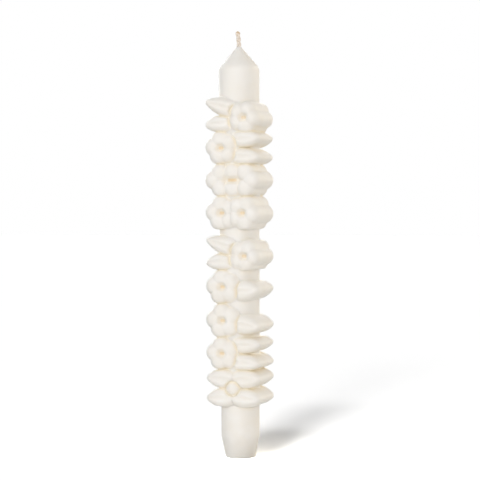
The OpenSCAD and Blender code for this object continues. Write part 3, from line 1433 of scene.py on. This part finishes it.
@dataclass
class Wick:
    """A plaited wick of three cotton strands, each laid up from six plies."""

    tip_z: float
    strands: int = 3
    strand_radius: float = 0.66 * MM
    pitch: float = 10.2 * MM
    across: float = 0.66 * MM
    inward: float = 0.43 * MM
    lean: float = 0.7 * MM
    plies: int = 6
    ply_share: float = 0.5
    ply_pitch: float = 3.1 * MM
    fray_length: float = 1.3 * MM
    fray: float = 0.3
    domed: float = 0.9 * MM
    ring_step: float = 0.4 * MM
    sides: int = 7
    fibres: float = 2.5e6
    fibre_length: float = 0.7 * MM
    fibre_radius: float = 0.011 * MM
    fibre_knee: float = 0.3
    fibre_rise: float = 0.35
    fibre_scales: Span = (0.35, 1.0)
    fibre_steps: int = 5
    fibre_sides: int = 3
    seed: int = 11

    def sizes(self, k: int, material: bpy.types.Material) -> Sizes:
        """Gives the tree's inputs for one strand.

        Args:
            k: The strand's number, from 0.
            material: The cotton.

        Returns:
            Values by name.
        """
        low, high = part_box(f"wick_strand_{k + 1}")
        ring = self.strand_radius / (1 + self.ply_share)
        ply = self.ply_share * ring
        return {
            "Foot": low.z,
            "Top": high.z - ply,
            "Tip": self.tip_z,
            "Rings": math.ceil((high.z - low.z) / self.ring_step),
            "Phase": math.tau * k / self.strands,
            "Pitch": self.pitch,
            "Across": self.across,
            "Inward": self.inward,
            "Lean": self.lean,
            "Plies": self.plies,
            "Ply Ring": ring,
            "Ply Radius": ply,
            "Ply Pitch": self.ply_pitch,
            "Fray Length": self.fray_length,
            "Fray": self.fray,
            "Domed": self.domed,
            "Half Width": self.across + self.strand_radius,
            "Sides": self.sides,
            "Fibres": self.fibres,
            "Fibre Length": self.fibre_length,
            "Fibre Radius": self.fibre_radius,
            "Seed": self.seed + k,
            "Material": material,
        }

    def yarn(self, sizes: Sizes) -> NodeTree:
        """Builds the tree that lays plies along a strand of the plait and raises loose fibres from them.

        Args:
            sizes: Values of its inputs by name.

        Returns:
            The tree.
        """
        nodes, given = new_tree("plaited_strand", sizes)
        sweep = self.ply_tubes(nodes, given)
        joined = nodes.add("GeometryNodeJoinGeometry")
        nodes.feed(joined.inputs[0], sweep)
        nodes.feed(joined.inputs[0], self.loose_fibres(nodes, given, sweep))
        nodes.finish(joined.outputs[0], given["Material"])
        return nodes

    def ply_tubes(self, nodes: NodeTree, given: Sockets) -> Socket:
        """Adds the nodes that sweep the plies.

        Args:
            nodes: The tree.
            given: The tree's inputs.

        Returns:
            The plies' mesh.
        """
        ends = {"Start": nodes.vector(Z=given["Foot"]), "End": nodes.vector(Z=given["Top"])}
        line = nodes.add("GeometryNodeCurvePrimitiveLine", ends)
        rings = nodes.add("GeometryNodeResampleCurve", {"Curve": line.outputs[0], "Count": given["Rings"]})
        inputs = {"Geometry": rings.outputs[0], "Amount": given["Plies"]}
        copies = nodes.add("GeometryNodeDuplicateElements", inputs, domain="SPLINE")
        z = nodes.split(nodes.add("GeometryNodeInputPosition").outputs[0])[2]
        rise = nodes.math("SUBTRACT", z, given["Tip"])
        turn = nodes.math("MULTIPLY", nodes.math("DIVIDE", rise, given["Pitch"]), math.tau)
        turn = nodes.math("ADD", turn, given["Phase"])
        stub = nodes.math("SUBTRACT", given["Top"], given["Tip"])
        up = nodes.math("DIVIDE", rise, stub, clamp=True)
        lean = nodes.math("MULTIPLY", nodes.math("MULTIPLY", up, up), given["Lean"])
        twist = nodes.math("MULTIPLY", nodes.math("DIVIDE", z, given["Ply Pitch"]), math.tau)
        share = nodes.math("DIVIDE", copies.outputs["Duplicate Index"], given["Plies"])
        twist = nodes.math("ADD", twist, nodes.math("MULTIPLY", share, math.tau))
        left = nodes.math("DIVIDE", nodes.math("SUBTRACT", given["Top"], z), given["Fray Length"])
        loose = nodes.math("SUBTRACT", 1, left, clamp=True)
        spread = nodes.math("MULTIPLY", nodes.math("MULTIPLY", loose, loose), given["Fray"])
        ring = nodes.math("MULTIPLY", given["Ply Ring"], nodes.math("ADD", spread, 1))
        middle_x = nodes.math("MULTIPLY", given["Across"], nodes.math("SINE", turn))
        double = nodes.math("SINE", nodes.math("MULTIPLY", turn, 2))
        middle_y = nodes.math("MULTIPLY", given["Inward"], double)
        x = nodes.math("MULTIPLY_ADD", ring, nodes.math("COSINE", twist), middle_x)
        y = nodes.math("MULTIPLY_ADD", ring, nodes.math("SINE", twist), middle_y)
        far = nodes.math("SQRT", nodes.math("MULTIPLY_ADD", x, x, nodes.math("MULTIPLY", y, y)))
        far = nodes.math("POWER", nodes.math("DIVIDE", far, given["Half Width"]), 2)
        drop = nodes.math("MULTIPLY", nodes.math("MULTIPLY", far, up), given["Domed"])
        new = nodes.vector(X=nodes.math("SUBTRACT", x, lean), Y=y, Z=nodes.math("SUBTRACT", z, drop))
        inputs = {"Geometry": copies.outputs["Geometry"], "Position": new}
        laid = nodes.add("GeometryNodeSetPosition", inputs)
        inputs = {"Resolution": given["Sides"], "Radius": given["Ply Radius"]}
        ply = nodes.add("GeometryNodeCurvePrimitiveCircle", inputs)
        inputs = {"Curve": laid.outputs[0], "Profile Curve": ply.outputs[0], "Fill Caps": True}
        return nodes.add("GeometryNodeCurveToMesh", inputs).outputs[0]

    def loose_fibres(self, nodes: NodeTree, given: Sockets, sweep: Socket) -> Socket:
        """Adds the nodes that raise loose fibres from the bare end of the plies.

        Args:
            nodes: The tree.
            given: The tree's inputs.
            sweep: The plies' mesh.

        Returns:
            The fibres as instances.
        """
        length = given["Fibre Length"]
        z = nodes.split(nodes.add("GeometryNodeInputPosition").outputs[0])[2]
        above = nodes.math("GREATER_THAN", z, given["Tip"])
        below = nodes.math("LESS_THAN", z, nodes.math("SUBTRACT", given["Top"], length))
        inputs = {
            "Mesh": sweep,
            "Selection": nodes.math("MULTIPLY", above, below),
            "Density": given["Fibres"],
            "Seed": given["Seed"],
        }
        points = nodes.add("GeometryNodeDistributePointsOnFaces", inputs)
        inputs = {
            "Resolution": self.fibre_steps,
            "Start": (0, 0, 0),
            "Middle": nodes.vector(Z=nodes.math("MULTIPLY", length, self.fibre_knee)),
            "End": nodes.vector(X=length, Z=nodes.math("MULTIPLY", length, self.fibre_rise)),
        }
        bend = nodes.add("GeometryNodeCurveQuadraticBezier", inputs)
        inputs = {"Resolution": self.fibre_sides, "Radius": given["Fibre Radius"]}
        thin = nodes.add("GeometryNodeCurvePrimitiveCircle", inputs)
        inputs = {"Curve": bend.outputs[0], "Profile Curve": thin.outputs[0]}
        hair = nodes.add("GeometryNodeCurveToMesh", inputs)
        least, most = self.fibre_scales
        inputs = {"Min": least, "Max": most, "Seed": given["Seed"]}
        size = nodes.add("FunctionNodeRandomValue", inputs, data_type="FLOAT")
        inputs = {
            "Points": points.outputs["Points"],
            "Instance": hair.outputs[0],
            "Rotation": points.outputs["Rotation"],
            "Scale": size.outputs["Value"],
        }
        return nodes.add("GeometryNodeInstanceOnPoints", inputs).outputs[0]

    def build(self, material: bpy.types.Material) -> list[Piece]:
        """Lays the three strands.

        Args:
            material: The cotton.

        Returns:
            The finished pieces.
        """
        nodes = self.yarn(self.sizes(0, material))
        pieces = []
        for k in range(self.strands):
            node = f"wick_strand_{k + 1}"
            made = mesh_object("yarn_" + node, np.zeros((1, 3)), np.empty((0, 4), int))
            grow(made, nodes, self.sizes(k, material))
            pieces.append(Piece(made, node, Slot.COTTON))
        return pieces


@dataclass(frozen=True)
class View:
    """Where the candle is seen from, in degrees and metres."""

    azimuth: float = 20.5
    distance: float = 0.948
    height: float = 0.145
    pitch: float = -1.325
    roll: float = -0.25
    lens: float = 125.25
    sensor: float = 36.0
    shift: tuple[float, float] = (0.0005, 0.0006)

    def camera(self) -> bpy.types.Object:
        """Sets the camera up.

        Returns:
            The camera.
        """
        data = bpy.data.cameras.new("camera")
        data.lens = self.lens
        data.sensor_width = self.sensor
        data.shift_x, data.shift_y = self.shift
        made = bpy.data.objects.new("camera", data)
        turn, pitch = math.radians(self.azimuth), math.radians(self.pitch)
        made.location = (math.sin(turn) * self.distance, -math.cos(turn) * self.distance, self.height)
        level = math.cos(pitch)
        ahead = Vector((-math.sin(turn) * level, math.cos(turn) * level, math.sin(pitch)))
        made.rotation_mode = "QUATERNION"
        rolled = Quaternion((0, 0, 1), math.radians(self.roll))
        made.rotation_quaternion = ahead.to_track_quat("-Z", "Y") @ rolled
        bpy.context.scene.collection.objects.link(made)
        bpy.context.scene.camera = made
        return made


@dataclass(frozen=True)
class Lamp:
    """A soft distant lamp: how bright white is that faces it, and its place and width in degrees."""

    name: str
    strength: float
    azimuth: float
    height: float
    angle: float
    colour: tuple[float, float, float] = (1, 1, 1)
    on_floor: bool = False


@dataclass
class Studio:
    """A white floor under soft light: a key from the front left, fills, and light off the table top."""

    view: View
    horizon: float = 0.0
    zenith: float = 0.12
    lamps: tuple[Lamp, ...] = (
        Lamp("key_low", 0.05, -14.7, 21, 9, on_floor=True),
        Lamp("key_middle", 0.08, -14.7, 42, 9, on_floor=True),
        Lamp("key_high", 0.06, -14.7, 64, 9, on_floor=True),
        Lamp("front", 0.33, 0, 4, 50, (1, 0.98, 1)),
        Lamp("left", 0.475, -60, 5, 60, (0.96, 0.98, 1)),
        Lamp("right", 0.74, 112, 5, 60, (1, 0.92, 0.78)),
        Lamp("back", 0.45, -150, 5, 60),
        Lamp("behind", 0.36, 180, 8, 40),
        Lamp("top", 0.1, 0, 70, 60),
        Lamp("table", 0.42, 15, -35, 100, (1, 0.98, 0.955)),
    )
    white: Colour = (1, 1, 1, 1)
    floor_size: float = 12.0
    stand_radius: float = 0.022
    stand_drop: float = 0.0005
    stand_sides: int = 48

    def hang(self, lamp: Lamp, spared: bpy.types.Collection) -> None:
        """Hangs a lamp.

        Args:
            lamp: The lamp.
            spared: What a lamp that isn't meant for the floor leaves out.
        """
        data = bpy.data.lights.new(lamp.name, "SUN")
        data.energy = lamp.strength * math.pi
        data.angle = math.radians(lamp.angle)
        data.color = lamp.colour
        made = bpy.data.objects.new(lamp.name, data)
        turn = math.radians(self.view.azimuth + lamp.azimuth)
        rise = math.radians(lamp.height)
        level = math.cos(rise)
        back = Vector((math.sin(turn) * level, -math.cos(turn) * level, math.sin(rise)))
        made.rotation_mode = "QUATERNION"
        made.rotation_quaternion = (-back).to_track_quat("-Z", "Y")
        if not lamp.on_floor:
            made.light_linking.receiver_collection = spared
        # A lamp below the table top shines through it.
        if lamp.height < 0:
            made.light_linking.blocker_collection = spared
        bpy.context.scene.collection.objects.link(made)

    def surroundings(self) -> None:
        """Lights the scene evenly from all round, and shows white behind it."""
        world = bpy.data.worlds.new("studio")
        world.use_nodes = True
        bpy.context.scene.world = world
        nodes = NodeTree(world.node_tree)
        direction = nodes.add("ShaderNodeTexCoord").outputs["Generated"]
        rise = nodes.math("ABSOLUTE", nodes.split(direction)[2])
        soft = nodes.remap(rise, (0, 1), (self.horizon, self.zenith))
        shown = nodes.seen()
        dim = nodes.math("MULTIPLY", soft, nodes.math("SUBTRACT", 1, shown))
        inputs = {"Color": self.white, "Strength": nodes.math("ADD", dim, shown)}
        nodes.fill(world.node_tree.nodes["Background"], inputs)

    def floor(self, paper: bpy.types.Material) -> bpy.types.Collection:
        """Lays the floor.

        Args:
            paper: Its finish.

        Returns:
            A collection that leaves the floor out of the lamps that it is given to.
        """
        half = self.floor_size / 2
        points = np.array([(-half, -half, 0), (half, -half, 0), (half, half, 0), (-half, half, 0)])
        made = mesh_object("paper_floor", points, np.array([[0, 1, 2, 3]]))
        made.data.materials.append(paper)
        spared = bpy.data.collections.new("spared_floor")
        spared.objects.link(made)
        spared.collection_objects[0].light_linking.link_state = "EXCLUDE"
        return spared

    def stand(self, paper: bpy.types.Material) -> None:
        """Lays a round sheet under the floor, which keeps the light of the table top off the foot.

        Args:
            paper: Its finish.
        """
        turns = np.arange(self.stand_sides) * math.tau / self.stand_sides
        rim = np.column_stack([np.cos(turns), np.sin(turns)]) * self.stand_radius
        points = np.column_stack([rim, np.full(self.stand_sides, -self.stand_drop)])
        made = mesh_object("paper_stand", points, np.arange(self.stand_sides)[None, :])
        made.data.materials.append(paper)

    def build(self) -> None:
        """Sets up the camera, the floor, the lamps and the surroundings."""
        self.view.camera()
        paper = FloorFinish().material()
        spared = self.floor(paper)
        self.stand(paper)
        for lamp in self.lamps:
            self.hang(lamp, spared)
        self.surroundings()
        bpy.context.scene.view_settings.view_transform = "Standard"


def main() -> None:
    """Builds the candle piece by piece, then the studio round it."""
    logging.basicConfig(level=logging.INFO, format="%(name)s %(message)s")
    LOG.info("%d nodes to dress", len(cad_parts))
    finishes = {Slot.WAX: WaxFinish().material(), Slot.COTTON: CottonFinish().material()}
    shaft = Shaft()
    body = shaft.build(finishes[Slot.WAX])
    garland = Garland(shaft)
    reliefs = garland.build()
    # Marks the shaft's crevices beside the garland, where the wax finish paints shade.
    mark_crevices(body.made, garland.forms())
    strands = Wick(shaft.tip_z).build(finishes[Slot.COTTON])
    for piece in [body, *reliefs, *strands]:
        piece.join(finishes[piece.slot])
    Studio(View()).build()


if __name__ == "__main__":
    main()
